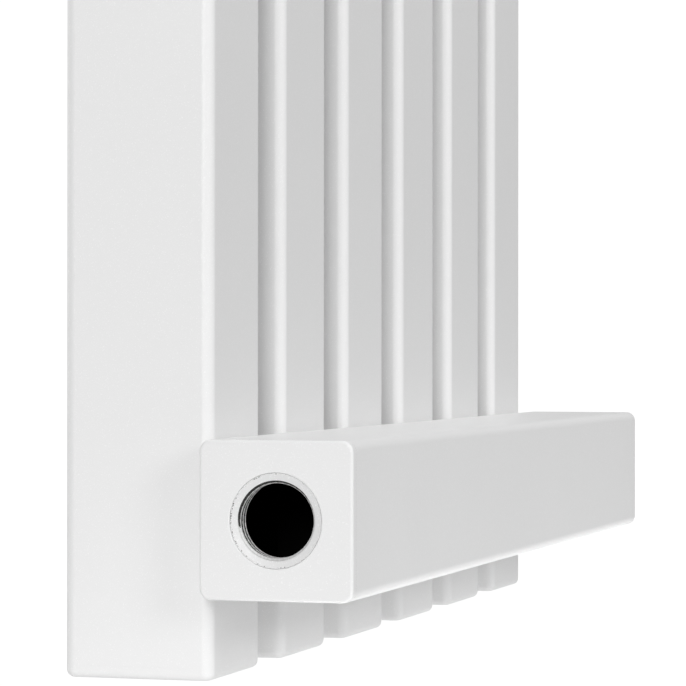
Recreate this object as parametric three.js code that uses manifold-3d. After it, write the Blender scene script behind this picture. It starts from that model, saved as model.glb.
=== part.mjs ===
// Vertical steel tube radiator: square columns in front, one square collector behind each end of them.
// Millimetres, +Z up. The room is towards -Y, the wall towards +Y, and left and right are as seen
// from the room, with +X to the right. The origin is where the wall bracket carries the radiator:
// the middle of the upper collector's underside.
import * as THREE from 'three';
import { mergeVertices } from 'three/addons/utils/BufferGeometryUtils.js';
import Module from 'manifold-3d';

const wasm = await Module();
wasm.setup();

// ---- Driving dimensions ----

const columnCount = 6;
const columnPitch = 60;
const overallHeight = 1800;
const columnWidth = 40;
const columnDepth = 40;
const columnWall = 1.5;
const columnCornerRadius = 3;
const capThickness = 3;
const capEdgeRadius = 2;

const collectorHeight = 40;
const collectorDepth = 40;
const collectorWall = 1.5;
const collectorCornerRadius = 3;
const collectorOverhang = 10; // past the outer columns, each side
const collectorSetback = 21.5; // from the columns' ends to the nearer side of the collector
const endPlateThickness = 3;
const endPlateEdgeRadius = 0.8;
const waterHoleRadius = 8; // between each column and each collector

const threadMajorRadius = 10.478; // half-inch parallel pipe thread
const threadPitch = 25.4 / 14;
const socketWall = 1.4; // outside the thread's major radius
const socketLength = 5.4;
const mouthChamfer = 1.2;

const baffleThickness = 2;

const shankLength = 7; // of the plug's and the vent's threads, into the socket
const flangeThickness = 2.2;
const flangeRim = 0.6; // outside the seal's groove
const sealWidth = 1.2; // of the O-ring squeezed under the flange
const sealHeight = 1.1;
const hexAcrossFlats = 22;
const plugHexHeight = 4.5;
const plugKeyAcrossFlats = 10; // hexagon socket in the plug's head
const plugKeyDepth = 4;

const ventHexHeight = 3.5;
const bossRadius = 6;
const bossHeight = 7; // above the vent's hexagon
const bossLip = 0.5; // snaps over the nozzle ring's step
const bossLipHeight = 0.8;
const ventWaterHoleRadius = 1.5;
const airHoleRadius = 0.6; // from the screw's bore to the nozzle ring's channel
const screwRadius = 3.1;
const screwSealHeight = 1.2;
const screwCollarRadius = 4.2;
const screwCollarHeight = 0.8;
const screwSquare = 5;
const screwSquareHeight = 3.5;
const screwSlotWidth = 1;
const screwSlotDepth = 1;
const ringWall = 3.2; // of the nozzle ring, outside its bore
const ringHeight = 9;
const channelDepth = 0.9; // air channel round the nozzle ring's bore
const channelWidth = 1.4;
const nozzleRadius = 2.3;
const nozzleShoulder = 0.5; // from the ring's underside to the nozzle
const nozzleLength = 4.5; // out from the ring's side
const nozzleBoreRadius = 1.1;

// ---- Clearances ----

const touchGap = 0.3; // between pieces that are welded or seated together
const weldGap = 0.05; // between the collectors and the backs of the columns
const runningGap = 0.3; // round a piece that turns or slides
const sealGap = 0.15; // round an O-ring

// ---- Smoothness ----

const cornerSteps = 4; // edges on a quarter-round corner
const edgeSteps = 2; // and on a rounded outer edge
const roundSides = 24;
const smallSides = 12;

// ---- Sizes that follow ----

const collectorLength = (columnCount - 1) * columnPitch + columnWidth + 2 * collectorOverhang;
const columnTubeLength = overallHeight - 2 * (capThickness + touchGap);
const columnCentreY = -columnDepth / 2;
const collectorCentreY = weldGap + collectorDepth / 2;
const lowerCollectorZ = collectorSetback + collectorHeight / 2;
const upperCollectorZ = overallHeight - lowerCollectorZ;
const bracketZ = upperCollectorZ - collectorHeight / 2;
const threadDepth = 0.6403 * threadPitch;
const threadMinorRadius = threadMajorRadius - threadDepth;
const socketRadius = threadMajorRadius + socketWall;
const columnX = (index) => (index - (columnCount - 1) / 2) * columnPitch;

// ---- Materials ----

const finish = (name, color, roughness, metalness) =>
  new THREE.MeshStandardMaterial({ name, color, roughness, metalness });

const paintedSteel = () => finish('white powder coat', 0xf1f1f0, 0.55, 0);
const bareSteel = () => finish('bare steel', 0xa9a8a4, 0.35, 1);
const nickel = () => finish('nickel plated brass', 0xc9c6bf, 0.25, 1);
const whitePlastic = () => finish('white plastic', 0xeeeeea, 0.45, 0);
const blackRubber = () => finish('black rubber', 0x1b1b1c, 0.8, 0);

// ---- Solids ----

function toSolid(geometry) {
  const bare = geometry.clone();
  bare.deleteAttribute('normal');
  bare.deleteAttribute('uv');
  const merged = mergeVertices(bare, 1e-4);
  return new wasm.Manifold(new wasm.Mesh({
    numProp: 3,
    vertProperties: merged.attributes.position.array,
    triVerts: new Uint32Array(merged.index.array),
  }));
}

function toGeometry(solid) {
  const mesh = solid.getMesh();
  const geometry = new THREE.BufferGeometry();
  geometry.setAttribute('position', new THREE.BufferAttribute(mesh.vertProperties, 3));
  geometry.setIndex(new THREE.BufferAttribute(mesh.triVerts, 1));
  geometry.computeVertexNormals();
  return geometry;
}

const cut = (body, ...tools) =>
  toGeometry(tools.reduce((rest, tool) => rest.subtract(toSolid(tool)), toSolid(body)));

const join = (body, ...others) =>
  toGeometry(others.reduce((sum, other) => sum.add(toSolid(other)), toSolid(body)));

// A rectangle with quarter-round corners, centred on the origin, as corner points.
function roundedRectangle(width, height, radius) {
  const points = [];
  const corners = [[1, 1], [-1, 1], [-1, -1], [1, -1]];
  corners.forEach(([signX, signY], quarter) => {
    for (let step = 0; step <= cornerSteps; step += 1) {
      const angle = (quarter + step / cornerSteps) * Math.PI / 2;
      points.push(new THREE.Vector2(
        signX * (width / 2 - radius) + radius * Math.cos(angle),
        signY * (height / 2 - radius) + radius * Math.sin(angle),
      ));
    }
  });
  return points;
}

// A square tube along Z from z = 0, open at both ends.
function squareTube(width, height, wall, radius, length) {
  const section = new THREE.Shape(roundedRectangle(width, height, radius));
  const innerRadius = Math.max(radius - wall, wall / 4);
  const inside = roundedRectangle(width - 2 * wall, height - 2 * wall, innerRadius);
  section.holes.push(new THREE.Path(inside));
  return new THREE.ExtrudeGeometry(section, { depth: length, bevelEnabled: false });
}

// A flat plate on z = 0 to thickness, whose edge is rounded on the +Z side only.
function edgeRoundedPlate(width, height, cornerRadius, thickness, edgeRadius) {
  const edge = Math.min(edgeRadius, thickness);
  const rows = [{ inset: 0, z: 0 }];
  for (let step = 0; step <= edgeSteps; step += 1) {
    const angle = step / edgeSteps * Math.PI / 2;
    rows.push({
      inset: edge * (1 - Math.cos(angle)),
      z: thickness - edge * (1 - Math.sin(angle)),
    });
  }
  const outlines = rows.map(({ inset, z }) =>
    roundedRectangle(width - 2 * inset, height - 2 * inset, Math.max(cornerRadius - inset, 0.2))
      .map((point) => new THREE.Vector3(point.x, point.y, z)));
  return loft(outlines);
}

// A closed solid through a stack of convex outlines that have the same number of points.
function loft(outlines) {
  const count = outlines[0].length;
  const positions = outlines.flat().flatMap((point) => [point.x, point.y, point.z]);
  const top = (outlines.length - 1) * count;
  const triangles = [];
  for (let row = 0; row < outlines.length - 1; row += 1) {
    for (let column = 0; column < count; column += 1) {
      const next = (column + 1) % count;
      const low = row * count;
      const high = low + count;
      triangles.push(low + column, low + next, high + next);
      triangles.push(low + column, high + next, high + column);
    }
  }
  for (let column = 1; column < count - 1; column += 1) {
    triangles.push(0, column + 1, column);
    triangles.push(top, top + column, top + column + 1);
  }
  const geometry = new THREE.BufferGeometry();
  geometry.setAttribute('position', new THREE.Float32BufferAttribute(positions, 3));
  geometry.setIndex(triangles);
  geometry.computeVertexNormals();
  return geometry;
}

// A cylinder along Z between two heights; six sides make a hexagon with corners towards +Y and -Y.
function cylinder(radius, bottom, top, sides = roundSides) {
  const geometry = new THREE.CylinderGeometry(radius, radius, top - bottom, sides);
  return geometry.rotateX(Math.PI / 2).translate(0, 0, (bottom + top) / 2);
}

const hexagon = (acrossFlats, bottom, top) =>
  cylinder(acrossFlats / 2 / Math.cos(Math.PI / 6), bottom, top, 6);

// A hole along Y from one depth to another, centred on x and z.
function holeAlongY(radius, x, z, fromY, toY) {
  const geometry = new THREE.CylinderGeometry(radius, radius, toY - fromY, roundSides);
  return geometry.translate(x, (fromY + toY) / 2, z);
}

// A turned solid about Z from [radius, z] points, running up its outside.
function turned(profile, sides = roundSides) {
  const points = profile.map(([radius, z]) => new THREE.Vector2(radius, z));
  return new THREE.LatheGeometry(points, sides).rotateX(Math.PI / 2);
}

// A turned ring of square section with its corners cut off, as an O-ring squeezed in its groove.
function sealRing(meanRadius, width, bottom, top) {
  const corner = Math.min(width, top - bottom) / 4;
  const inner = meanRadius - width / 2;
  const outer = meanRadius + width / 2;
  return turned([
    [inner + corner, bottom],
    [outer - corner, bottom],
    [outer, bottom + corner],
    [outer, top - corner],
    [outer - corner, top],
    [inner + corner, top],
    [inner, top - corner],
    [inner, bottom + corner],
    [inner + corner, bottom],
  ]);
}

const piece = (name, geometry, material) => {
  const mesh = new THREE.Mesh(geometry, material);
  mesh.name = name;
  return mesh;
};

// ---- Columns ----

function columnTube() {
  const tube = squareTube(columnWidth, columnDepth, columnWall, columnCornerRadius, columnTubeLength);
  const back = columnDepth / 2;
  const start = capThickness + touchGap;
  const holes = [lowerCollectorZ, upperCollectorZ].map((z) =>
    holeAlongY(waterHoleRadius, 0, z - start, back - 2 * columnWall, back + columnWall));
  return cut(tube, ...holes);
}

const columnCap = () =>
  edgeRoundedPlate(columnWidth, columnDepth, columnCornerRadius, capThickness, capEdgeRadius);

function column(index) {
  const group = new THREE.Group();
  const number = index + 1;
  const tube = piece(`column_tube_${number}`, columnTube(), paintedSteel());
  tube.position.z = capThickness + touchGap;
  const bottomCap = piece(`column_cap_bottom_${number}`, columnCap(), paintedSteel());
  bottomCap.rotation.x = Math.PI;
  bottomCap.position.z = capThickness;
  const topCap = piece(`column_cap_top_${number}`, columnCap(), paintedSteel());
  topCap.position.z = overallHeight - capThickness;
  group.add(tube, bottomCap, topCap);
  group.position.set(columnX(index), columnCentreY, 0);
  return group;
}

// ---- Collectors: each is drawn about its own axis, lying along X ----

function collectorTube() {
  const length = collectorLength - 2 * (endPlateThickness + touchGap);
  const tube = squareTube(collectorHeight, collectorDepth, collectorWall, collectorCornerRadius, length);
  tube.translate(0, 0, -length / 2).rotateY(Math.PI / 2);
  const front = -collectorDepth / 2;
  const holes = Array.from({ length: columnCount }, (_, index) =>
    holeAlongY(waterHoleRadius, columnX(index), 0, front - collectorWall, front + 2 * collectorWall));
  return cut(tube, ...holes);
}

function endPlate() {
  const plate = edgeRoundedPlate(
    collectorHeight,
    collectorDepth,
    collectorCornerRadius,
    endPlateThickness,
    endPlateEdgeRadius,
  ).translate(0, 0, -endPlateThickness);
  const hole = cylinder(socketRadius + touchGap, -2 * endPlateThickness, endPlateThickness);
  return cut(plate, hole);
}

function portSocket() {
  return turned([
    [threadMinorRadius, -socketLength],
    [socketRadius, -socketLength],
    [socketRadius, 0],
    [threadMinorRadius + mouthChamfer, 0],
    [threadMinorRadius, -mouthChamfer],
    [threadMinorRadius, -socketLength],
  ]);
}

function flowBaffle() {
  const gap = collectorWall + touchGap;
  const outline = roundedRectangle(
    collectorHeight - 2 * gap,
    collectorDepth - 2 * gap,
    Math.max(collectorCornerRadius - collectorWall, collectorWall),
  );
  const geometry = new THREE.ExtrudeGeometry(new THREE.Shape(outline), {
    depth: baffleThickness,
    bevelEnabled: false,
  });
  return geometry.translate(0, 0, -baffleThickness / 2).rotateY(Math.PI / 2);
}

// ---- What closes the upper ports: drawn about Z, with the end plate's outer face at z = 0 ----

const shankRadius = threadMinorRadius - runningGap;
const sealMeanRadius = (threadMinorRadius + mouthChamfer + socketRadius) / 2; // on the socket's face
const grooveInner = sealMeanRadius - sealWidth / 2 - sealGap;
const grooveOuter = sealMeanRadius + sealWidth / 2 + sealGap;
const grooveTop = sealHeight + 2 * sealGap;
const flangeRadius = grooveOuter + flangeRim;
const flangeBottom = touchGap;
const flangeTop = flangeBottom + flangeThickness;

const flangeSeal = () => sealRing(sealMeanRadius, sealWidth, sealGap, sealGap + sealHeight);

// The outline shared by the plug and the vent: shank, seal groove and flange, up its outside.
const fittingProfile = [
  [shankRadius, -shankLength],
  [shankRadius, flangeBottom],
  [grooveInner, flangeBottom],
  [grooveInner, grooveTop],
  [grooveOuter, grooveTop],
  [grooveOuter, flangeBottom],
  [flangeRadius, flangeBottom],
  [flangeRadius, flangeTop],
];

function blankingPlug() {
  const turnedPart = turned([[0, -shankLength], ...fittingProfile, [0, flangeTop]]);
  const head = hexagon(hexAcrossFlats, flangeTop - touchGap, flangeTop + plugHexHeight);
  const solidPlug = join(turnedPart, head);
  const top = flangeTop + plugHexHeight;
  return cut(solidPlug, hexagon(plugKeyAcrossFlats, top - plugKeyDepth, top + plugKeyDepth));
}

const ventHexTop = flangeTop + ventHexHeight;
const bossTop = ventHexTop + bossHeight;
const ringBottom = ventHexTop + runningGap;
const ringTop = ringBottom + ringHeight;
const ringBore = bossRadius + runningGap;
const nozzleZ = ringBottom + nozzleShoulder + nozzleRadius;
const screwBore = screwRadius + runningGap;
const seatBottom = flangeBottom;
const seatTop = seatBottom + screwBore - ventWaterHoleRadius;
const screwSealBottom = nozzleZ + airHoleRadius + 2 * sealGap;
const screwSealTop = screwSealBottom + screwSealHeight;

function ventBody() {
  const turnedPart = turned([
    [ventWaterHoleRadius, -shankLength],
    ...fittingProfile,
    [bossRadius, flangeTop],
    [bossRadius, bossTop - bossLipHeight],
    [bossRadius + bossLip, bossTop - bossLipHeight],
    [bossRadius + bossLip / 2, bossTop],
    [screwBore, bossTop],
    [screwBore, seatTop],
    [ventWaterHoleRadius, seatBottom],
    [ventWaterHoleRadius, -shankLength],
  ]);
  const hexRing = cut(
    hexagon(hexAcrossFlats, flangeTop - touchGap, ventHexTop),
    cylinder(bossRadius - touchGap, flangeTop - 2 * touchGap, ventHexTop + touchGap),
  );
  const airHole = new THREE.CylinderGeometry(airHoleRadius, airHoleRadius, bossRadius, smallSides)
    .translate(0, bossRadius, nozzleZ);
  return cut(join(turnedPart, hexRing), airHole);
}

function nozzleRing() {
  const ringRadius = ringBore + ringWall;
  const stepZ = bossTop - bossLipHeight - runningGap;
  const channelRadius = ringBore + channelDepth;
  const ring = turned([
    [ringBore, ringBottom],
    [ringRadius, ringBottom],
    [ringRadius, ringTop],
    [ringBore + bossLip, ringTop],
    [ringBore + bossLip, stepZ],
    [ringBore, stepZ],
    [ringBore, nozzleZ + channelWidth / 2],
    [channelRadius, nozzleZ + channelWidth / 2],
    [channelRadius, nozzleZ - channelWidth / 2],
    [ringBore, nozzleZ - channelWidth / 2],
    [ringBore, ringBottom],
  ]);
  const alongX = (radius, fromX, toX) =>
    cylinder(radius, fromX, toX, smallSides).rotateY(Math.PI / 2).translate(0, 0, nozzleZ);
  const middle = (channelRadius + ringRadius) / 2;
  const nozzle = alongX(nozzleRadius, middle, ringRadius + nozzleLength);
  const outlet = alongX(nozzleBoreRadius, ringBore / 2, ringRadius + nozzleLength + nozzleRadius);
  return cut(join(ring, nozzle), outlet);
}

function bleedScrew() {
  const tipBottom = seatBottom + touchGap;
  const tipRadius = ventWaterHoleRadius - touchGap;
  const grooveRadius = screwRadius - screwSealHeight / 2 - sealGap;
  const collarBottom = bossTop + touchGap;
  const collarTop = collarBottom + screwCollarHeight;
  const stem = turned([
    [0, tipBottom],
    [tipRadius, tipBottom],
    [screwRadius, tipBottom + screwRadius - tipRadius],
    [screwRadius, screwSealBottom - sealGap],
    [grooveRadius, screwSealBottom - sealGap],
    [grooveRadius, screwSealTop + sealGap],
    [screwRadius, screwSealTop + sealGap],
    [screwRadius, collarBottom],
    [screwCollarRadius, collarBottom],
    [screwCollarRadius, collarTop],
    [0, collarTop],
  ]);
  const overlap = screwCollarHeight / 2;
  const square = new THREE.BoxGeometry(screwSquare, screwSquare, screwSquareHeight + overlap)
    .translate(0, 0, collarTop + (screwSquareHeight - overlap) / 2);
  const slot = new THREE.BoxGeometry(2 * screwSquare, screwSlotWidth, 2 * screwSlotDepth)
    .translate(0, 0, collarTop + screwSquareHeight);
  return cut(join(stem, square), slot);
}

function screwSeal() {
  const outer = screwBore - sealGap;
  const inner = screwRadius - screwSealHeight / 2;
  return sealRing((outer + inner) / 2, outer - inner, screwSealBottom, screwSealTop);
}

// ---- Assembly ----

// A group whose own +Z points out of the collector's end on the given side (+1 right, -1 left).
function atPort(side, ...pieces) {
  const group = new THREE.Group();
  group.position.x = side * collectorLength / 2;
  group.rotation.y = side * Math.PI / 2;
  group.add(...pieces);
  return group;
}

function collector(level, z) {
  const group = new THREE.Group();
  group.position.set(0, collectorCentreY, z);
  group.add(piece(`collector_tube_${level}`, collectorTube(), paintedSteel()));
  for (const [sideName, side] of [['left', -1], ['right', 1]]) {
    group.add(atPort(
      side,
      piece(`end_plate_${level}_${sideName}`, endPlate(), paintedSteel()),
      piece(`port_socket_${level}_${sideName}`, portSocket(), bareSteel()),
    ));
  }
  return group;
}

const radiator = new THREE.Group();
for (let index = 0; index < columnCount; index += 1) radiator.add(column(index));

const lowerCollector = collector('lower', lowerCollectorZ);
const baffle = piece('flow_baffle', flowBaffle(), bareSteel());
baffle.position.x = (columnX(columnCount - 1) + columnX(columnCount - 2)) / 2;
lowerCollector.add(baffle);

const upperCollector = collector('upper', upperCollectorZ);
upperCollector.add(
  atPort(
    -1,
    piece('blanking_plug', blankingPlug(), nickel()),
    piece('blanking_plug_seal', flangeSeal(), blackRubber()),
  ),
  atPort(
    1,
    piece('vent_body', ventBody(), nickel()),
    piece('vent_seal', flangeSeal(), blackRubber()),
    piece('vent_nozzle_ring', nozzleRing(), whitePlastic()),
    piece('bleed_screw', bleedScrew(), nickel()),
    piece('bleed_screw_seal', screwSeal(), blackRubber()),
  ),
);

radiator.add(lowerCollector, upperCollector);
radiator.position.set(0, -collectorCentreY, -bracketZ);

const part = new THREE.Group();
part.add(radiator);

export default part;
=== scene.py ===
import math

import bpy
import numpy as np
from mathutils import Matrix, Vector, noise


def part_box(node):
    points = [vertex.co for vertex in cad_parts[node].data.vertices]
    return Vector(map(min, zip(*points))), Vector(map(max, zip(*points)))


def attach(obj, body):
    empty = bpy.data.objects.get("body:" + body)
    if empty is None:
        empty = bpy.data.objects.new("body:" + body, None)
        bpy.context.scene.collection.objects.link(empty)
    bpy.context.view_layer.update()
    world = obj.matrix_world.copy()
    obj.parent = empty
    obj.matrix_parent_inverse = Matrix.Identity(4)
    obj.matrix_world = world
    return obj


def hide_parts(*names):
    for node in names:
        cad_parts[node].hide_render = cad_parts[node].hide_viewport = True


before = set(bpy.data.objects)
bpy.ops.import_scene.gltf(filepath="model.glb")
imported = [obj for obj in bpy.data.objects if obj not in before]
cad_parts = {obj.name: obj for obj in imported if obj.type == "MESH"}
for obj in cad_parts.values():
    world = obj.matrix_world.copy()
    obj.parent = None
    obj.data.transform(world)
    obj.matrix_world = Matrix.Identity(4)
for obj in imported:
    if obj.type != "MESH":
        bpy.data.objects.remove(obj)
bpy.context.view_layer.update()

MM = 0.001
BODY = "radiator"
NOZZLE_BODY = "vent_nozzle"
SEAL_BODY = "bleed_screw_lift"
SCREW_BODY = "bleed_screw"

# ---- Sizes read from the frame ----

COLUMNS = sum(name.startswith("column_tube_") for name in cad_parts)
column_low, column_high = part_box("column_tube_1")
COLUMN_WIDTH = column_high.x - column_low.x
COLUMN_DEPTH = column_high.y - column_low.y
COLUMN_BACK = column_high.y
RADIATOR_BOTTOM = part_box("column_cap_bottom_1")[0].z
RADIATOR_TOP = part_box("column_cap_top_1")[1].z
collector_low, collector_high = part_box("collector_tube_lower")
COLLECTOR_SIDE = collector_high.z - collector_low.z
COLLECTOR_Y = (collector_low.y + collector_high.y) / 2
COLLECTOR_Z = {
    level: sum(corner.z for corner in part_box(f"collector_tube_{level}")) / 2
    for level in ("lower", "upper")
}
END_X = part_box("end_plate_lower_right")[1].x
PLATE_THICKNESS = END_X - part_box("end_plate_lower_right")[0].x
SOCKET_LENGTH = END_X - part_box("port_socket_lower_right")[0].x
SOCKET_RADIUS = (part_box("port_socket_lower_right")[1].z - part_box("port_socket_lower_right")[0].z) / 2

# ---- Sizes of the finish and the fine shapes ----

WALL = 1.5 * MM
CORNER_RADIUS = 3 * MM
CAP_EDGE = 2 * MM
PLATE_EDGE = 0.8 * MM
HAIRLINE = 0.01 * MM
HOLE_CLEARANCE = 0.05 * MM

THREAD_PITCH = 25.4 / 14 * MM
THREAD_MAJOR = 10.478 * MM
THREAD_DEPTH = 0.6403 * THREAD_PITCH
THREAD_MINOR = THREAD_MAJOR - THREAD_DEPTH
DISH_DEPTH = 0.5 * MM
MOUTH_RADIUS = 10.1 * MM
PAINT_LIMIT = 10.04 * MM  # the paint stops at this radius, just inside the mouth
PAINT_TONE = 0.85
SHADED_PAINT_TONE = 0.77  # darker, on the socket's dished face: painted shade
CHIP_AND_SHADE_CHANCE = 0.03  # of a small face near the socket's edge being near black: paint chips, darkened as painted shade
SHADE_CHANCE_COLUMNS = 0.2  # more, on the side towards the columns, where the dark is painted shade along the edge
CHIP_REACH = 0.5 * MM
COUNTERSINK_SLOPE = 2
RUN_OUT = 0.4 * MM  # the plain stretch at the socket's inner end
THREAD_STEP = 0.05 * MM
THREAD_SIDES = 288
CREST = 0.24  # the share of the pitch that the flat of the crest takes
CREST_BRIGHT = 0.14 * MM  # how far the painted highlight on the thread's crest reaches down its flanks


# ---- Materials ----

class Nodes:
    """A node tree with short calls for the nodes that the finishes share."""

    def __init__(self, name):
        self.material = bpy.data.materials.new(name)
        self.material.use_nodes = True
        self.tree = self.material.node_tree
        self.shader = self.tree.nodes["Principled BSDF"]
        self.place = self.add("ShaderNodeTexCoord").outputs["Object"]

    def add(self, kind, **inputs):
        node = self.tree.nodes.new(kind)
        for key, value in inputs.items():
            self.set(node.inputs[key.replace("_", " ")], value)
        return node

    def set(self, socket, value):
        if isinstance(value, bpy.types.NodeSocket):
            self.tree.links.new(value, socket)
        else:
            socket.default_value = value

    def noise(self, size, detail=2.0):
        """Noise from 0 to 1 whose blotches are about size metres across."""
        node = self.add("ShaderNodeTexNoise", Vector=self.place, Scale=1 / size, Detail=detail)
        return node.outputs["Fac"]

    def remap(self, value, low, high, to_low, to_high):
        node = self.add("ShaderNodeMapRange")
        self.set(node.inputs["Value"], value)
        for key, number in zip(("From Min", "From Max", "To Min", "To Max"), (low, high, to_low, to_high)):
            node.inputs[key].default_value = number
        return node.outputs["Result"]

    def mix(self, factor, first, second):
        node = self.add("ShaderNodeMix")
        node.data_type = "RGBA"
        self.set(node.inputs["Factor"], factor)
        self.set(node.inputs["A"], first)
        self.set(node.inputs["B"], second)
        return node.outputs["Result"]

    def bump(self, height, depth, under=None):
        """A bump of the given depth in metres, over another bump if there is one."""
        node = self.add("ShaderNodeBump", Height=height, Distance=depth)
        if under is not None:
            self.set(node.inputs["Normal"], under)
        return node.outputs["Normal"]


def grey(level, warmth=0.0):
    return (level * (1 + warmth), level, level * (1 - warmth), 1.0)


def powder_coat(name, tone):
    """Satin white powder coat: a fine orange peel, a finer grain whose light specks are painted glints, and
    faint unevenness.
    """
    nodes = Nodes(name)
    peel = nodes.noise(1.3 * MM, detail=1.5)
    grain = nodes.noise(0.32 * MM, detail=1.0)
    cloud = nodes.noise(60 * MM, detail=3.0)
    # light specks in the colour stand for glints: painted highlights
    painted_glint = nodes.remap(grain, 0.62, 0.74, 0.0, 1.0)
    base = nodes.mix(cloud, grey(tone - 0.015), grey(tone + 0.015))
    nodes.set(nodes.shader.inputs["Base Color"], nodes.mix(painted_glint, base, grey(0.93)))
    nodes.set(nodes.shader.inputs["Roughness"], nodes.remap(peel, 0.3, 0.7, 0.36, 0.48))
    nodes.shader.inputs["Specular IOR Level"].default_value = 0.4
    waves = nodes.bump(peel, 0.012 * MM)
    nodes.set(nodes.shader.inputs["Normal"], nodes.bump(grain, 0.006 * MM, under=waves))
    return nodes.material


def bare_steel():
    """Freshly cut steel of the tapped socket: a fine, even bump and a little dull oxide."""
    nodes = Nodes("bare_steel")
    nodes.shader.inputs["Metallic"].default_value = 1.0
    oxide = nodes.noise(1.4 * MM, detail=4.0)
    fine = nodes.noise(0.12 * MM, detail=2.0)
    tone = nodes.mix(nodes.remap(oxide, 0.45, 0.75, 0.0, 1.0), grey(0.66, 0.01), grey(0.36, 0.05))
    nodes.set(nodes.shader.inputs["Base Color"], tone)
    nodes.set(nodes.shader.inputs["Roughness"], nodes.remap(oxide, 0.3, 0.75, 0.2, 0.45))
    nodes.set(nodes.shader.inputs["Normal"], nodes.bump(fine, 0.004 * MM))
    return nodes.material


def highlit_thread_crests():
    """The thread's crests, lighter than its flanks: a painted highlight, with a mottled tone."""
    nodes = Nodes("thread_crest_painted_highlight")
    crest_mottle = nodes.noise(0.5 * MM, detail=3.0)
    nodes.set(nodes.shader.inputs["Base Color"], nodes.mix(crest_mottle, grey(0.45, 0.01), grey(0.85)))
    nodes.shader.inputs["Roughness"].default_value = 0.5
    nodes.shader.inputs["Metallic"].default_value = 0.3
    return nodes.material


def shaded_thread_flanks():
    """The cut flanks and roots of the thread, near black: painted shade in the thread's grooves."""
    nodes = Nodes("thread_flank_painted_shade")
    flank_mottle = nodes.noise(0.8 * MM, detail=4.0)
    nodes.set(nodes.shader.inputs["Base Color"], nodes.mix(flank_mottle, grey(0.01, 0.03), grey(0.06, 0.03)))
    nodes.set(nodes.shader.inputs["Roughness"], nodes.remap(flank_mottle, 0.3, 0.7, 0.4, 0.65))
    nodes.shader.inputs["Metallic"].default_value = 0.5
    nodes.set(nodes.shader.inputs["Normal"], nodes.bump(nodes.noise(0.1 * MM), 0.005 * MM))
    return nodes.material


def inner_shade():
    """The unpainted inside of the tubes, near black: painted shade, darker than its mill scale."""
    nodes = Nodes("inner_painted_shade")
    scale_and_shade = nodes.noise(5 * MM, detail=5.0)
    nodes.set(nodes.shader.inputs["Base Color"], nodes.mix(scale_and_shade, grey(0.002, 0.05), grey(0.006, 0.12)))
    nodes.set(nodes.shader.inputs["Roughness"], nodes.remap(scale_and_shade, 0.3, 0.7, 0.75, 0.95))
    nodes.shader.inputs["Specular IOR Level"].default_value = 0.05
    nodes.set(nodes.shader.inputs["Normal"], nodes.bump(scale_and_shade, 0.05 * MM))
    return nodes.material


def nickel_plate():
    """Bright nickel on turned brass: faint handling marks and cloudy patches."""
    nodes = Nodes("nickel_plated_brass")
    nodes.shader.inputs["Metallic"].default_value = 1.0
    cloud = nodes.noise(6 * MM, detail=4.0)
    fine = nodes.noise(0.25 * MM, detail=2.0)
    nodes.set(nodes.shader.inputs["Base Color"], nodes.mix(cloud, grey(0.70, 0.03), grey(0.78, 0.025)))
    nodes.set(nodes.shader.inputs["Roughness"], nodes.remap(cloud, 0.3, 0.7, 0.16, 0.3))
    nodes.set(nodes.shader.inputs["Normal"], nodes.bump(fine, 0.002 * MM))
    return nodes.material


def white_plastic():
    """Moulded satin plastic with a spark-eroded grain."""
    nodes = Nodes("white_plastic")
    grain = nodes.noise(0.2 * MM, detail=2.0)
    cloud = nodes.noise(9 * MM, detail=2.0)
    nodes.set(nodes.shader.inputs["Base Color"], nodes.mix(cloud, grey(0.78, 0.01), grey(0.83, 0.008)))
    nodes.set(nodes.shader.inputs["Roughness"], nodes.remap(cloud, 0.3, 0.7, 0.34, 0.44))
    nodes.shader.inputs["Subsurface Weight"].default_value = 0.15
    nodes.shader.inputs["Subsurface Radius"].default_value = (0.8, 0.75, 0.7)
    nodes.shader.inputs["Subsurface Scale"].default_value = 1.0 * MM
    nodes.set(nodes.shader.inputs["Normal"], nodes.bump(grain, 0.006 * MM))
    return nodes.material


def black_rubber():
    nodes = Nodes("black_rubber")
    bloom = nodes.noise(2.5 * MM, detail=4.0)
    nodes.set(nodes.shader.inputs["Base Color"], nodes.mix(bloom, grey(0.012), grey(0.035)))
    nodes.set(nodes.shader.inputs["Roughness"], nodes.remap(bloom, 0.3, 0.7, 0.55, 0.8))
    nodes.set(nodes.shader.inputs["Normal"], nodes.bump(nodes.noise(0.3 * MM), 0.01 * MM))
    return nodes.material


def pale_floor():
    """Plain pale ground that fades into the white surroundings away from the object."""
    nodes = Nodes("pale_floor")
    cloud = nodes.noise(0.5, detail=2.0)
    tone = nodes.mix(cloud, grey(FLOOR_ALBEDO), grey(FLOOR_ALBEDO + 0.02))
    nodes.set(nodes.shader.inputs["Base Color"], tone)
    nodes.shader.inputs["Roughness"].default_value = 0.9
    distance = nodes.add("ShaderNodeVectorMath", Vector=nodes.place)
    distance.operation = "LENGTH"
    near = nodes.remap(distance.outputs["Value"], FLOOR_NEAR, FLOOR_FAR, 1.0, 0.0)
    near.node.interpolation_type = "SMOOTHSTEP"
    nodes.set(nodes.shader.inputs["Alpha"], near)
    return nodes.material


# ---- Mesh building ----

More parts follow.
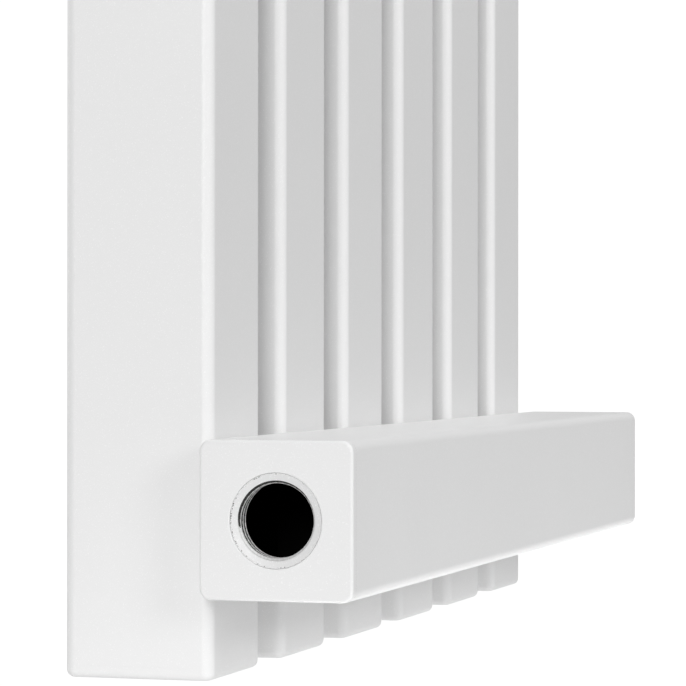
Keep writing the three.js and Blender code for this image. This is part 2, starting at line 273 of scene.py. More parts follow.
def make_object(name, points, faces, materials, face_slots=None, smooth_angle=40):
    """A smooth-shaded object whose flats stay flat and whose edges past smooth_angle degrees stay crisp."""
    mesh = bpy.data.meshes.new(name)
    mesh.from_pydata([tuple(p) for p in points], [], faces)
    for material in materials:
        mesh.materials.append(material)
    if face_slots is not None:
        mesh.polygons.foreach_set("material_index", face_slots)
    mesh.validate()
    mesh.polygons.foreach_set("use_smooth", [True] * len(mesh.polygons))
    mesh.set_sharp_from_angle(angle=math.radians(smooth_angle))
    mesh.update()
    obj = bpy.data.objects.new(name, mesh)
    bpy.context.scene.collection.objects.link(obj)
    weighted = obj.modifiers.new("flat_faces", "WEIGHTED_NORMAL")
    weighted.keep_sharp = True
    return obj


def settle(obj, body, slot, *nodes):
    """The piece rides on its body and stands for its CAD nodes; the slot is not used."""
    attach(obj, body)
    if nodes:
        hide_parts(*nodes)
    return obj


def skin(rings, closed=False, slots=None):
    """Points, faces and face slots through equal rings of points; open skins get flat ends."""
    count = len(rings[0])
    points = [point for ring in rings for point in ring]
    faces, face_slots = [], []
    spans = len(rings) if closed else len(rings) - 1
    for row in range(spans):
        low = row * count
        high = (row + 1) % len(rings) * count
        for i in range(count):
            j = (i + 1) % count
            faces.append((low + i, low + j, high + j, high + i))
            face_slots.append(slots[row] if slots else 0)
    if not closed:
        last = (len(rings) - 1) * count
        faces.append(tuple(reversed(range(count))))
        faces.append(tuple(range(last, last + count)))
        face_slots += [slots[0] if slots else 0, slots[-1] if slots else 0]
    return points, faces, face_slots


def rounded_square(side_x, side_y, radius, corner_steps=10, flat_steps=1):
    """Points round a square with quarter-round corners, anticlockwise, centred on the origin."""
    corners = [(1, 1), (-1, 1), (-1, -1), (1, -1)]
    arcs = []
    for quarter, (sign_x, sign_y) in enumerate(corners):
        middle = Vector((sign_x * (side_x / 2 - radius), sign_y * (side_y / 2 - radius)))
        for step in range(corner_steps + 1):
            angle = (quarter + step / corner_steps) * math.pi / 2
            arcs.append(middle + radius * Vector((math.cos(angle), math.sin(angle))))
    points = []
    for i, point in enumerate(arcs):
        points.append(point)
        if (i + 1) % (corner_steps + 1) == 0:
            after = arcs[(i + 1) % len(arcs)]
            points += [point.lerp(after, k / flat_steps) for k in range(1, flat_steps)]
    return points


def fillet(profile, radius, steps=4, closed=False):
    """A profile of (r, z) corners with each corner rounded, as far as its two edges allow."""
    corners = [Vector(p[:2]) for p in profile]
    radii = [p[2] if len(p) > 2 else radius for p in profile]
    rounded = []
    for i, corner in enumerate(corners):
        if not closed and i in (0, len(corners) - 1):
            rounded.append(corner)
            continue
        before, after = corners[i - 1] - corner, corners[(i + 1) % len(corners)] - corner
        half_turn = before.angle(after) / 2
        reach = min(radii[i] / math.tan(half_turn), before.length * 0.45, after.length * 0.45)
        if reach < 1e-7:
            rounded.append(corner)
            continue
        start, end = corner + before.normalized() * reach, corner + after.normalized() * reach
        for step in range(steps + 1):
            t = step / steps
            rounded.append(start * (1 - t) ** 2 + corner * 2 * t * (1 - t) + end * t ** 2)
    return rounded


def turned(profile, sides=96, radius_at=None):
    """A solid turned about Z through (r, z) points; the profile closes on itself or ends on the axis."""
    open_ended = profile[0][0] < 1e-9
    rows = profile[1:-1] if open_ended else profile
    turns = [2 * math.pi * k / sides for k in range(sides)]
    rings = []
    for r, z in rows:
        ring = []
        for angle in turns:
            out = r if radius_at is None else radius_at(r, z, angle)
            ring.append(Vector((out * math.cos(angle), out * math.sin(angle), z)))
        rings.append(ring)
    return skin(rings, closed=not open_ended)


def port_frame(level, side):
    """Turns a piece drawn about +Z, with the collector's end face at z = 0, to face out of a port."""
    place = Matrix.Translation((side * END_X, COLLECTOR_Y, COLLECTOR_Z[level]))
    return place @ Matrix.Rotation(side * math.pi / 2, 4, "Y")


def placed(points, matrix):
    return [matrix @ Vector(p) for p in points]


# ---- Columns and caps ----

def column(number):
    low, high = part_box(f"column_tube_{number}")
    middle = (low + high) / 2
    outside = rounded_square(COLUMN_WIDTH, COLUMN_DEPTH, CORNER_RADIUS)
    inside = rounded_square(COLUMN_WIDTH - 2 * WALL, COLUMN_DEPTH - 2 * WALL, CORNER_RADIUS - WALL)
    at = lambda outline, z: [Vector((middle.x + p.x, middle.y + p.y, z)) for p in outline]
    rings = [at(outside, low.z), at(outside, high.z), at(inside, high.z), at(inside, low.z)]
    points, faces, slots = skin(rings, closed=True, slots=[0, 1, 1, 1])
    # the tube's inside takes the near-black painted shade
    tube = make_object(f"tube_{number}", points, faces, [paint, scale_and_shade], slots)
    settle(tube, BODY, "white_powder_coat", f"column_tube_{number}")
    cap(f"cap_bottom_{number}", f"column_cap_bottom_{number}", low.z - HAIRLINE, RADIATOR_BOTTOM)
    cap(f"cap_top_{number}", f"column_cap_top_{number}", high.z + HAIRLINE, RADIATOR_TOP)


def cap(name, node, joint_z, face_z, steps=8):
    """An end cap from the tube's end to the closed face, its outer edge ground round."""
    low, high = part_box(node)
    middle = (low + high) / 2
    outward = 1 if face_z > joint_z else -1
    rings = []
    rows = [(0.0, joint_z)]
    for step in range(steps + 1):
        angle = step / steps * math.pi / 2
        inset = CAP_EDGE * (1 - math.cos(angle))
        rows.append((inset, face_z - outward * CAP_EDGE * (1 - math.sin(angle))))
    for inset, z in rows:
        corner = CORNER_RADIUS - inset * 0.9
        outline = rounded_square(COLUMN_WIDTH - 2 * inset, COLUMN_DEPTH - 2 * inset, corner)
        rings.append([Vector((middle.x + p.x, middle.y + p.y, z)) for p in outline])
    if outward < 0:
        rings.reverse()
    points, faces, _ = skin(rings)
    obj = make_object(name, points, faces, [paint])
    settle(obj, BODY, "white_powder_coat", node)


# ---- Collectors ----

def collector(level):
    low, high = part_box(f"collector_tube_{level}")
    outside = rounded_square(COLLECTOR_SIDE, COLLECTOR_SIDE, CORNER_RADIUS)
    inside = rounded_square(COLLECTOR_SIDE - 2 * WALL, COLLECTOR_SIDE - 2 * WALL, CORNER_RADIUS - WALL)
    reach = END_X - PLATE_THICKNESS - HAIRLINE
    at = lambda outline, x: [Vector((x, COLLECTOR_Y + p.x, COLLECTOR_Z[level] + p.y)) for p in outline]
    rings = [at(outside, -reach), at(outside, reach), at(inside, reach), at(inside, -reach)]
    points, faces, slots = skin(rings, closed=True, slots=[0, 1, 1, 1])
    # the collector's inside takes the near-black painted shade
    tube = make_object(f"collector_{level}", points, faces, [paint, scale_and_shade], slots)
    settle(tube, BODY, "white_powder_coat", f"collector_tube_{level}")


def ragged(angle, seed, size, depth):
    """A wandering offset round a circle, the same each run: depth metres at most, size blotches a turn."""
    spot = Vector((math.cos(angle) * size, math.sin(angle) * size, seed))
    return depth * noise.noise(spot)


def end_plate(level, side_name, side, seed):
    """The welded end of the collector, its edge ground round, with the socket's hole."""
    edge_steps = 6
    outlines = [(0.0, -PLATE_THICKNESS + HAIRLINE)]
    for step in range(edge_steps + 1):
        angle = step / edge_steps * math.pi / 2
        outlines.append((PLATE_EDGE * (1 - math.cos(angle)), -PLATE_EDGE * (1 - math.sin(angle))))
    rings = []
    for inset, z in outlines:
        side_length = COLLECTOR_SIDE - 2 * inset
        outline = rounded_square(side_length, side_length, CORNER_RADIUS - inset, 12, 96)
        rings.append([Vector((p.x, p.y, z)) for p in outline])
    angles = [math.atan2(p.y, p.x) for p in rings[0]]
    hole = SOCKET_RADIUS + HOLE_CLEARANCE
    lips = [(0.36 * MM, 0.0), (0.14 * MM, -0.02 * MM), (0.05 * MM, -0.08 * MM), (0.0, -0.18 * MM)]
    lips.append((0.0, -PLATE_THICKNESS + HAIRLINE))
    for lip, z in lips:
        wander = 1.0 if z > -0.1 * MM else 0.0
        ring = []
        for angle in angles:
            extra = wander * (ragged(angle, seed, 9, 0.14 * MM) + ragged(angle, seed + 5, 30, 0.10 * MM))
            radius = hole + lip + max(extra, -0.04 * MM)
            ring.append(Vector((radius * math.cos(angle), radius * math.sin(angle), z)))
        rings.append(ring)
    points, faces, _ = skin(rings, closed=True)
    name = f"end_plate_{level}_{side_name}"
    obj = make_object("painted_" + name, placed(points, port_frame(level, side)), faces, [paint])
    settle(obj, BODY, "white_powder_coat", name)


def thread_form(phase):
    """How deep a 55 degree thread is cut, from 0 along its flat crest to 1 at its round root."""
    away = abs(2 * (phase % 1) - 1)
    cut = max(0.0, (away - CREST) / (1 - CREST))
    return cut * (1.15 - 0.15 * cut * cut)


def socket_profile():
    """The (r, z) points of the socket, and where its thread starts and stops along the axis."""
    face = fillet([
        (SOCKET_RADIUS, -0.5 * MM),
        (SOCKET_RADIUS, -0.03 * MM, 0.16 * MM),
        (SOCKET_RADIUS - 0.35 * MM, -0.18 * MM, 0.4 * MM),
        (MOUTH_RADIUS + 0.12 * MM, -DISH_DEPTH - 0.03 * MM, 0.12 * MM),
        (MOUTH_RADIUS - 0.1 * MM, -DISH_DEPTH - 0.15 * MM, 0.05 * MM),
        (MOUTH_RADIUS - 0.25 * MM, -DISH_DEPTH - 0.3 * MM),
    ], 0.1 * MM, steps=5)
    start, start_z = face[-1]
    stop_z = -(SOCKET_LENGTH - RUN_OUT)
    rows = int((start_z - stop_z) / THREAD_STEP)
    downs = [k * THREAD_STEP for k in range(1, rows + 1)]
    bore = [(max(start - COUNTERSINK_SLOPE * down, 0.0), start_z - down) for down in downs]
    end = [
        (THREAD_MINOR + 0.5 * MM, -SOCKET_LENGTH + 0.05 * MM),
        (THREAD_MINOR + 0.7 * MM, -SOCKET_LENGTH),
        (SOCKET_RADIUS, -SOCKET_LENGTH),
    ]
    return [tuple(p) for p in face] + bore + end, start, start_z, stop_z


def port_socket(level, side_name, side, seed):
    """The threaded socket: painted face with a shallow dish in a darker copy of the coat, as painted shade;
    mouth and thread crests lighter as a painted highlight; thread flanks near black as painted shade; bare
    inner end.
    """
    profile, start, start_z, stop_z = socket_profile()

    def radius_at(r, z, angle):
        if z > start_z or z < stop_z:
            return r
        phase = z / THREAD_PITCH - angle / (2 * math.pi)
        return max(r, THREAD_MINOR + THREAD_DEPTH * thread_form(phase))

    points, faces, _ = turned(profile, THREAD_SIDES, radius_at=radius_at)
    coat, bare, cut, bright = range(4)
    middles = np.array([[sum(points[i][k] for i in f) / 4 for k in range(3)] for f in faces])
    out = np.hypot(middles[:, 0], middles[:, 1])
    turn = np.arctan2(middles[:, 1], middles[:, 0])
    limit = np.array([
        PAINT_LIMIT + ragged(a, seed + 2, 7, 0.08 * MM) + ragged(a, seed + 8, 26, 0.06 * MM) for a in turn
    ])
    # inside the paint's edge, the mouth takes the crests' painted highlight
    slots = np.where(out < limit, bright, coat)
    slots[middles[:, 2] < stop_z] = bare
    inside = (middles[:, 2] < start_z) & (middles[:, 2] > stop_z)
    # the thread's flanks and roots take the near-black painted shade
    slots[inside] = cut
    # the crests and the countersink take the painted highlight
    slots[inside & (out < THREAD_MINOR + CREST_BRIGHT)] = bright
    countersink = start - COUNTERSINK_SLOPE * (start_z - middles[:, 2])
    slots[inside & (countersink > THREAD_MINOR) & (out < countersink + 0.03 * MM)] = bright
    name = f"port_socket_{level}_{side_name}"
    tapped = placed(points, port_frame(level, side))
    toward_columns = np.array([-sum(tapped[i][1] for i in f) / 4 for f in faces]) / out
    chance = CHIP_AND_SHADE_CHANCE + SHADE_CHANCE_COLUMNS * np.clip(toward_columns, 0, 1) ** 2
    ring = (out > SOCKET_RADIUS - CHIP_REACH) & (middles[:, 2] > -DISH_DEPTH)
    draws = np.random.RandomState(int(seed) + 40).rand(len(faces))
    # near-black faces at the socket's rim: paint chips and painted shade, more towards the columns
    slots[ring & (draws < chance)] = cut
    obj = make_object("tapped_" + name, tapped, faces, [shaded_paint, steel, flanks, crests], slots)
    settle(obj, BODY, "bare_steel", name)


# ---- What closes the upper ports: drawn about +Z, with the end plate's outer face at z = 0 ----

FLANGE_RADIUS = 12.54 * MM
FLANGE_BOTTOM = 0.3 * MM
FLANGE_TOP = 2.5 * MM
SHANK_RADIUS = 9.0 * MM
SHANK_LENGTH = 7 * MM
SHANK_THREAD_DEPTH = 0.55 * MM
SEAL_MEAN = 11.2 * MM
SEAL_GROOVE = 0.72 * MM
SEAL_WIDTH = 1.2 * MM
SEAL_BOTTOM = 0.15 * MM
SEAL_TOP = 1.25 * MM
SEAL_SQUEEZE = 0.8  # below 1, an O-ring's section is a little squared
SEAL_GROOVE_TOP = 1.4 * MM
HEX_FLATS = 22 * MM
HEX_CORNER_CUT = 0.10 * MM
PLUG_HEX_TOP = 7.0 * MM
PLUG_KEY_FLATS = 10 * MM
PLUG_KEY_DEPTH = 4 * MM
VENT_HEX_TOP = 6.0 * MM
BOSS_RADIUS = 6 * MM
BOSS_TOP = 13 * MM
BOSS_LIP = 0.5 * MM
BOSS_LIP_HEIGHT = 0.8 * MM
WATER_BORE = 1.5 * MM
SEAT_TOP = 2.2 * MM
SCREW_BORE = 3.4 * MM
RING_BORE = 6.3 * MM
RING_RADIUS = 9.5 * MM
RING_BOTTOM = 6.3 * MM
RING_TOP = 15.3 * MM
RING_STEP = 11.9 * MM
CHANNEL_RADIUS = 7.2 * MM
CHANNEL_WIDTH = 1.4 * MM
NOZZLE_Z = 9.1 * MM
NOZZLE_RADIUS = 2.3 * MM
NOZZLE_TIP = 14.0 * MM
NOZZLE_BORE = 1.1 * MM
SCREW_RADIUS = 3.1 * MM
SCREW_TIP = 0.6 * MM
COLLAR_RADIUS = 4.2 * MM
COLLAR_BOTTOM = 13.3 * MM
COLLAR_TOP = 14.1 * MM
SQUARE = 5 * MM
SQUARE_TOP = 17.6 * MM
SLOT = 1 * MM
SCREW_GROOVE = 2.35 * MM
SCREW_SEAL_MEAN = 2.875 * MM
SCREW_SEAL_WIDTH = 0.75 * MM
SCREW_SEAL_BOTTOM = 10.0 * MM
SCREW_SEAL_TOP = 11.2 * MM
FINE_EDGE = 0.15 * MM


def hexagon_radius(across_flats, angle):
    """How far a hexagon's outline is from its axis: corners towards +Y and -Y, a touch rounded."""
    turn = (angle - math.pi / 2) % (math.pi / 3) - math.pi / 6
    corner = across_flats / 2 / math.cos(math.pi / 6)
    return min(across_flats / 2 / math.cos(turn), corner - HEX_CORNER_CUT)


def polar_solid(rows, sides=360, closed=False):
    """A solid through (radius, z, across flats) rows, each kept inside the hexagon of that size, if any."""
    rings = []
    for radius, z, flats in rows:
        ring = []
        for k in range(sides):
            angle = 2 * math.pi * k / sides
            reach = min(radius, hexagon_radius(flats, angle)) if flats else radius
            ring.append(Vector((reach * math.cos(angle), reach * math.sin(angle), z)))
        rings.append(ring)
    return skin(rings, closed=closed)


def shank_rows():
    """The fitting's outside up to its flange: chamfered end, turned thread and seal groove."""
    crest, root = SHANK_RADIUS, SHANK_RADIUS - SHANK_THREAD_DEPTH
    rows = [(root, -SHANK_LENGTH)]
    z = -SHANK_LENGTH + SHANK_THREAD_DEPTH
    while z + THREAD_PITCH < -FLANGE_BOTTOM:
        rows += [(crest, z), (crest, z + THREAD_PITCH / 8)]
        rows += [(root, z + THREAD_PITCH / 2), (root, z + THREAD_PITCH * 5 / 8)]
        z += THREAD_PITCH
    rows += [(crest, z), (crest, FLANGE_BOTTOM), (SEAL_MEAN - SEAL_GROOVE, FLANGE_BOTTOM)]
    rows += [(SEAL_MEAN - SEAL_GROOVE, SEAL_GROOVE_TOP), (SEAL_MEAN + SEAL_GROOVE, SEAL_GROOVE_TOP)]
    rows += [(SEAL_MEAN + SEAL_GROOVE, FLANGE_BOTTOM), (FLANGE_RADIUS, FLANGE_BOTTOM)]
    rows += [(FLANGE_RADIUS, FLANGE_TOP)]
    outline = fillet([(root / 2, -SHANK_LENGTH)] + rows + [(BOSS_RADIUS, FLANGE_TOP)], FINE_EDGE, steps=3)
    return [tuple(p) for p in outline[1:-1]]


def hex_rows(top):
    """The hexagon from the flange to its top, whose corners are turned away in a chamfer."""
    corner = HEX_FLATS / 2 / math.cos(math.pi / 6)
    chamfer = corner - HEX_FLATS / 2
    slope = math.tan(math.radians(30))
    rows = [(corner, FLANGE_TOP, HEX_FLATS)]
    steps = 8
    for step in range(steps + 1):
        inward = chamfer * 1.15 * step / steps
        rows.append((corner - inward, top - (chamfer * 1.15 - inward) * slope, HEX_FLATS))
    return rows


def plain(rows):
    return [(r, z, None) for r, z in rows]


def blanking_plug():
    place = port_frame("upper", -1)
    key_bottom = PLUG_HEX_TOP - PLUG_KEY_DEPTH
    key_corner = PLUG_KEY_FLATS / 2 / math.cos(math.pi / 6)
    lead = 0.6 * MM
    lead_steps = 6
    rows = plain(shank_rows()) + hex_rows(PLUG_HEX_TOP)
    rows.append((key_corner + 0.5 * MM, PLUG_HEX_TOP, None))
    rows.append((key_corner + 0.35 * MM, PLUG_HEX_TOP - 0.05 * MM, None))
    for step in range(lead_steps + 1):
        down = lead * step / lead_steps
        rows.append((key_corner + 0.3 * MM - down, PLUG_HEX_TOP - 0.08 * MM - down, None))
    rows.append((key_corner, PLUG_HEX_TOP - lead - 0.12 * MM, PLUG_KEY_FLATS))
    rows.append((key_corner, key_bottom, PLUG_KEY_FLATS))
    rows.append((PLUG_KEY_FLATS * 0.3, key_bottom, None))
    points, faces, _ = polar_solid(rows)
    plug = make_object("plug", placed(points, place), faces, [nickel], smooth_angle=35)
    settle(plug, BODY, "nickel_plated_brass", "blanking_plug")


def vent_body():
    place = port_frame("upper", 1)
    rows = plain(shank_rows()) + hex_rows(VENT_HEX_TOP)
    boss = fillet([
        (BOSS_RADIUS + 1 * MM, VENT_HEX_TOP),
        (BOSS_RADIUS, VENT_HEX_TOP),
        (BOSS_RADIUS, BOSS_TOP - BOSS_LIP_HEIGHT),
        (BOSS_RADIUS + BOSS_LIP, BOSS_TOP - BOSS_LIP_HEIGHT),
        (BOSS_RADIUS + BOSS_LIP / 2, BOSS_TOP),
        (SCREW_BORE, BOSS_TOP),
        (SCREW_BORE, SEAT_TOP),
        (WATER_BORE, FLANGE_BOTTOM),
        (WATER_BORE, -SHANK_LENGTH),
        (WATER_BORE + 1 * MM, -SHANK_LENGTH),
    ], 0.1 * MM, steps=3)
    points, faces, _ = polar_solid(rows + plain(tuple(p) for p in boss[1:-1]), closed=True)
    body = make_object("vent_fitting", placed(points, place), faces, [nickel], smooth_angle=35)
    settle(body, BODY, "nickel_plated_brass", "vent_body")


def temporary(name, points, faces, place):
    """A shape that is only there to be joined to or cut from another."""
    mesh = bpy.data.meshes.new(name)
    mesh.from_pydata([tuple(place @ Vector(p)) for p in points], [], faces)
    obj = bpy.data.objects.new(name, mesh)
    bpy.context.scene.collection.objects.link(obj)
    return obj


def combine(obj, operation, *others, smooth_angle=35):
    """Joins or cuts closed shapes for good, and shades the result anew."""
    for other in others:
        modifier = obj.modifiers.new("combine", "BOOLEAN")
        modifier.operation = operation
        modifier.solver = "EXACT"
        modifier.object = other
    weighted = [m.name for m in obj.modifiers if m.type == "WEIGHTED_NORMAL"]
    for name in weighted:
        obj.modifiers.remove(obj.modifiers[name])
    bpy.context.view_layer.update()
    graph = bpy.context.evaluated_depsgraph_get()
    mesh = bpy.data.meshes.new_from_object(obj.evaluated_get(graph))
    obj.modifiers.clear()
    obj.data = mesh
    mesh.polygons.foreach_set("use_smooth", [True] * len(mesh.polygons))
    mesh.set_sharp_from_angle(angle=math.radians(smooth_angle))
    obj.modifiers.new("flat_faces", "WEIGHTED_NORMAL").keep_sharp = True
    for other in others:
        bpy.data.objects.remove(other)
    return obj


def nozzle_ring():
    place = port_frame("upper", 1)
    half_channel = CHANNEL_WIDTH / 2
    ring = fillet([
        (RING_BORE, RING_BOTTOM, 0.2 * MM),
        (RING_RADIUS, RING_BOTTOM, 0.5 * MM),
        (RING_RADIUS, RING_TOP, 0.7 * MM),
        (RING_BORE + BOSS_LIP, RING_TOP, 0.4 * MM),
        (RING_BORE + BOSS_LIP, RING_STEP),
        (RING_BORE, RING_STEP),
        (RING_BORE, NOZZLE_Z + half_channel),
        (CHANNEL_RADIUS, NOZZLE_Z + half_channel),
        (CHANNEL_RADIUS, NOZZLE_Z - half_channel),
        (RING_BORE, NOZZLE_Z - half_channel),
    ], 0.05 * MM, steps=5, closed=True)
    points, faces, _ = turned([tuple(p) for p in ring], 144)
    obj = make_object("outlet_ring", placed(points, place), faces, [plastic], smooth_angle=35)
    aside = place @ Matrix.Translation((0, 0, NOZZLE_Z)) @ Matrix.Rotation(math.pi / 2, 4, "Y")
    spout = fillet([
        (0, CHANNEL_RADIUS + 0.7 * MM),
        (NOZZLE_RADIUS, CHANNEL_RADIUS + 0.7 * MM),
        (NOZZLE_RADIUS, NOZZLE_TIP, 0.35 * MM),
        (0, NOZZLE_TIP),
    ], 0.05 * MM, steps=5)
    points, faces, _ = turned([tuple(p) for p in spout], 96)
    bore = [(0, RING_BORE / 2), (NOZZLE_BORE, RING_BORE / 2), (NOZZLE_BORE, NOZZLE_TIP - 0.25 * MM),
            (NOZZLE_BORE + 0.5 * MM, NOZZLE_TIP + 0.25 * MM), (0, NOZZLE_TIP + 0.25 * MM)]
    bore_points, bore_faces, _ = turned(bore, 64)
    combine(obj, "UNION", temporary("spout", points, faces, aside))
    combine(obj, "DIFFERENCE", temporary("bore", bore_points, bore_faces, aside))
    settle(obj, NOZZLE_BODY, "white_plastic", "vent_nozzle_ring")


def square_prism(side, edge, low, high, corner=0.25 * MM):
    """A square bar along Z whose top edges are broken."""
    rings = []
    for inset, z in ((0, low), (0, high - edge), (edge * 0.3, high - edge * 0.3), (edge, high)):
        outline = rounded_square(side - 2 * inset, side - 2 * inset, corner, 4)
        rings.append([Vector((p.x, p.y, z)) for p in outline])
    points, faces, _ = skin(rings)
    return points, faces


def bleed_screw():
    place = port_frame("upper", 1)
    tip_radius = WATER_BORE - 0.3 * MM
    stem = fillet([
        (0, SCREW_TIP),
        (tip_radius, SCREW_TIP),
        (SCREW_RADIUS, SCREW_TIP + SCREW_RADIUS - tip_radius),
        (SCREW_RADIUS, SCREW_SEAL_BOTTOM - 0.15 * MM),
        (SCREW_GROOVE, SCREW_SEAL_BOTTOM - 0.15 * MM),
        (SCREW_GROOVE, SCREW_SEAL_TOP + 0.15 * MM),
        (SCREW_RADIUS, SCREW_SEAL_TOP + 0.15 * MM),
        (SCREW_RADIUS, COLLAR_BOTTOM),
        (COLLAR_RADIUS, COLLAR_BOTTOM),
        (COLLAR_RADIUS, COLLAR_TOP, 0.3 * MM),
        (0, COLLAR_TOP),
    ], 0.1 * MM, steps=4)
    points, faces, _ = turned([tuple(p) for p in stem], 96)
    obj = make_object("air_screw", placed(points, place), faces, [nickel], smooth_angle=35)
    head_points, head_faces = square_prism(SQUARE, 0.35 * MM, COLLAR_TOP - 0.3 * MM, SQUARE_TOP)
    combine(obj, "UNION", temporary("head", head_points, head_faces, place))
    slot = [Vector((x * SQUARE, y * SLOT / 2, SQUARE_TOP + z * SLOT))
            for z in (-1, 1) for x, y in ((-1, -1), (1, -1), (1, 1), (-1, 1))]
    slot_faces = [(0, 3, 2, 1), (4, 5, 6, 7), (0, 1, 5, 4), (1, 2, 6, 5), (2, 3, 7, 6), (3, 0, 4, 7)]
    combine(obj, "DIFFERENCE", temporary("slot", slot, slot_faces, place))
    settle(obj, SCREW_BODY, "nickel_plated_brass", "bleed_screw")


def seal(name, node, side, mean, width, low, high, body):
    """A squeezed O-ring: round where it is free, a little flat where it is pressed."""
    steps = 24
    middle, half_height = (low + high) / 2, (high - low) / 2
    profile = []
    for step in range(steps):
        angle = 2 * math.pi * step / steps - math.pi / 2
        bulge = lambda t: math.copysign(abs(t) ** SEAL_SQUEEZE, t)
        out = mean + width / 2 * bulge(math.cos(angle))
        profile.append((out, middle + half_height * bulge(math.sin(angle))))
    points, faces, _ = turned(profile, 144)
    obj = make_object(name, placed(points, port_frame("upper", side)), faces, [rubber])
    settle(obj, body, "black_rubber", node)


def baffle():
    """The stop plate inside the lower collector, seen through the open port."""
    low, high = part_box("flow_baffle")
    middle = (low + high) / 2
    side = high.z - low.z
    edge = 0.2 * MM
    rings = []
    for inset, x in ((edge, low.x), (0, low.x + edge), (0, high.x - edge), (edge, high.x)):
        outline = rounded_square(side - 2 * inset, side - 2 * inset, 1.5 * MM - inset, 6)
        rings.append([Vector((x, middle.y + p.x, middle.z + p.y)) for p in outline])
    points, faces, _ = skin(rings)
    # the stop plate takes the near-black painted shade of the tubes' insides
    obj = make_object("stop_plate", points, faces, [scale_and_shade])
    settle(obj, BODY, "bare_steel", "flow_baffle")


# ---- The scene ----

CAMERA_LENS = 160.48  # mm, on a 36 mm sensor
# from where the right end plate's face, the plane of the columns' backs and the radiator's bottom meet
CAMERA_PLACE = (0.7198, 0.2507, 0.08396)
CAMERA_YAW = 16.501  # degrees
CAMERA_PITCH = 0.117
CAMERA_ROLL = 0.033

LIGHT_DISTANCE = 8.0
# name, azimuth from +X towards +Y, elevation, width and height in metres, watts
STUDIO_LIGHTS = (
    ("key", 8, 12, 2.2, 2.6, 326),
    ("wall_corner", 60, 15, 2.2, 2.6, 98),
    ("wall_side", 90, 20, 2.2, 2.6, 121),
    ("top_far", 170, 65, 2.5, 2.5, 169),
    ("room_side", -105, 5, 4.0, 4.0, 120),
)
FOOT_POWER = 0.026  # small lamps below the columns, in watts
FOOT_SIDE_POWER = 0.006
UNDER_POWER = 0.083
UNDER_LENGTH = 0.40
WORLD_FILL = 0.328
WORLD_SEEN = 1.05  # the white that the camera sees behind the object
FLOOR_NEAR = 0.3  # the floor is solid up to here and gone at FLOOR_FAR
FLOOR_FAR = 2.0
FLOOR_ALBEDO = 0.65
FLOOR_DROP = 0.25  # below the radiator, which hangs on a wall

paint = powder_coat("white_powder_coat", PAINT_TONE)
# a darker copy of the coat for the socket's face: painted shade
shaded_paint = powder_coat("shaded_powder_coat", SHADED_PAINT_TONE)
steel = bare_steel()
# near-black thread flanks as painted shade, lighter crests as painted highlight
flanks = shaded_thread_flanks()
crests = highlit_thread_crests()
# near-black painted shade for the insides of the tubes and for the stop plate
scale_and_shade = inner_shade()
nickel = nickel_plate()
plastic = white_plastic()
rubber = black_rubber()


def camera():
    """A long lens at the radiator's right-hand end, a little towards the wall."""
    data = bpy.data.cameras.new("camera")
    data.sensor_width = 36.0
    data.lens = CAMERA_LENS
    data.clip_start, data.clip_end = 0.01, 100
    obj = bpy.data.objects.new("camera", data)
    obj.location = Vector((END_X, COLUMN_BACK, RADIATOR_BOTTOM)) + Vector(CAMERA_PLACE)
    yaw, pitch, roll = (math.radians(angle) for angle in (CAMERA_YAW, CAMERA_PITCH, CAMERA_ROLL))
    forward = Vector((-math.cos(yaw) * math.cos(pitch), -math.sin(yaw) * math.cos(pitch), math.sin(pitch)))
    right = forward.cross(Vector((0, 0, 1))).normalized()
    up = right.cross(forward)
    across = math.cos(roll) * right + math.sin(roll) * up
    upward = -math.sin(roll) * right + math.cos(roll) * up
    obj.rotation_euler = Matrix((across, upward, -forward)).transposed().to_euler()
    bpy.context.scene.collection.objects.link(obj)
    bpy.context.scene.camera = obj


def softbox(name, place, target, width, height, power, spread=180):
    data = bpy.data.lights.new(name, "AREA")
    data.shape = "RECTANGLE"
    data.size, data.size_y = width, height
    data.energy = power
    data.spread = math.radians(spread)
    obj = bpy.data.objects.new(name, data)
    obj.location = place
    direction = Vector(target) - Vector(place)
    obj.rotation_euler = direction.to_track_quat("-Z", "Y").to_euler()
    obj.visible_camera = False
    bpy.context.scene.collection.objects.link(obj)


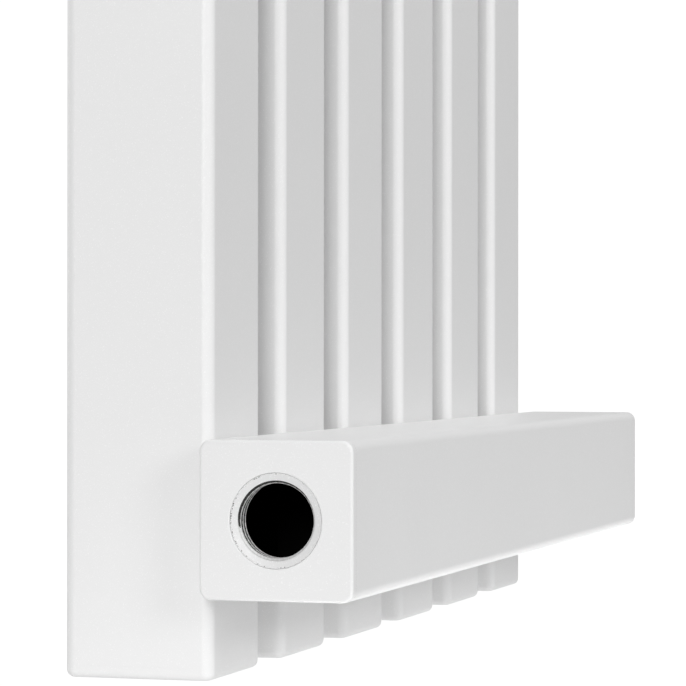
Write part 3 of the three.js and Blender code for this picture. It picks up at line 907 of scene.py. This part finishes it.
def studio():
    world = bpy.data.worlds.new("studio")
    world.use_nodes = True
    tree = world.node_tree
    background = tree.nodes["Background"]
    background.inputs["Color"].default_value = grey(1.0)
    background.inputs["Strength"].default_value = WORLD_FILL
    seen = tree.nodes.new("ShaderNodeBackground")
    seen.inputs["Color"].default_value = grey(1.0)
    seen.inputs["Strength"].default_value = WORLD_SEEN
    path = tree.nodes.new("ShaderNodeLightPath")
    mix = tree.nodes.new("ShaderNodeMixShader")
    tree.links.new(path.outputs["Is Camera Ray"], mix.inputs["Fac"])
    tree.links.new(background.outputs["Background"], mix.inputs[1])
    tree.links.new(seen.outputs["Background"], mix.inputs[2])
    tree.links.new(mix.outputs["Shader"], tree.nodes["World Output"].inputs["Surface"])
    bpy.context.scene.world = world
    bpy.context.scene.view_settings.view_transform = "Standard"

    centre = Vector((0, COLUMN_BACK, (RADIATOR_BOTTOM + RADIATOR_TOP) / 2))
    aim = Vector((0.1, COLUMN_BACK, RADIATOR_BOTTOM + 0.4))
    for name, azimuth, elevation, width, height, power in STUDIO_LIGHTS:
        turn, rise = math.radians(azimuth), math.radians(elevation)
        level_reach = math.cos(rise)
        direction = Vector((math.cos(turn) * level_reach, math.sin(turn) * level_reach, math.sin(rise)))
        softbox(name, centre + LIGHT_DISTANCE * direction, aim, width, height, power)
    upward = Vector((0, 0, 1))
    foot = Vector((0, COLUMN_BACK - 0.02, RADIATOR_BOTTOM - 0.015))
    softbox("foot", foot, foot + upward, UNDER_LENGTH, 0.08, FOOT_POWER)
    under = Vector((0, COLLECTOR_Y + 0.035, RADIATOR_BOTTOM - 0.08))
    softbox("under", under, under + upward, UNDER_LENGTH, 0.06, UNDER_POWER, spread=60)
    beside = foot + Vector((UNDER_LENGTH / 2 + 0.01, 0, 0))
    softbox("foot_side", beside, beside + upward, 0.06, 0.10, FOOT_SIDE_POWER)

    floor_mesh = bpy.data.meshes.new("floor")
    reach = FLOOR_FAR + 0.1
    floor_z = RADIATOR_BOTTOM - FLOOR_DROP
    corners = [(-reach, -reach, 0), (reach, -reach, 0), (reach, reach, 0), (-reach, reach, 0)]
    floor_mesh.from_pydata(corners, [], [(0, 1, 2, 3)])
    floor_mesh.materials.append(pale_floor())
    floor = bpy.data.objects.new("floor", floor_mesh)
    floor.location = (0, 0, floor_z)
    bpy.context.scene.collection.objects.link(floor)


camera()
studio()
for number in range(1, COLUMNS + 1):
    column(number)
for level_index, level in enumerate(("lower", "upper")):
    collector(level)
    for side_name, side in (("left", -1), ("right", 1)):
        seed = 11.3 * level_index + 3.7 * side
        end_plate(level, side_name, side, seed)
        port_socket(level, side_name, side, seed)

baffle()
blanking_plug()
vent_body()
nozzle_ring()
bleed_screw()
seal("plug_seal", "blanking_plug_seal", -1, SEAL_MEAN, SEAL_WIDTH, SEAL_BOTTOM, SEAL_TOP, BODY)
seal("vent_fitting_seal", "vent_seal", 1, SEAL_MEAN, SEAL_WIDTH, SEAL_BOTTOM, SEAL_TOP, BODY)
seal("air_screw_seal", "bleed_screw_seal", 1, SCREW_SEAL_MEAN, SCREW_SEAL_WIDTH,
     SCREW_SEAL_BOTTOM, SCREW_SEAL_TOP, SEAL_BODY)
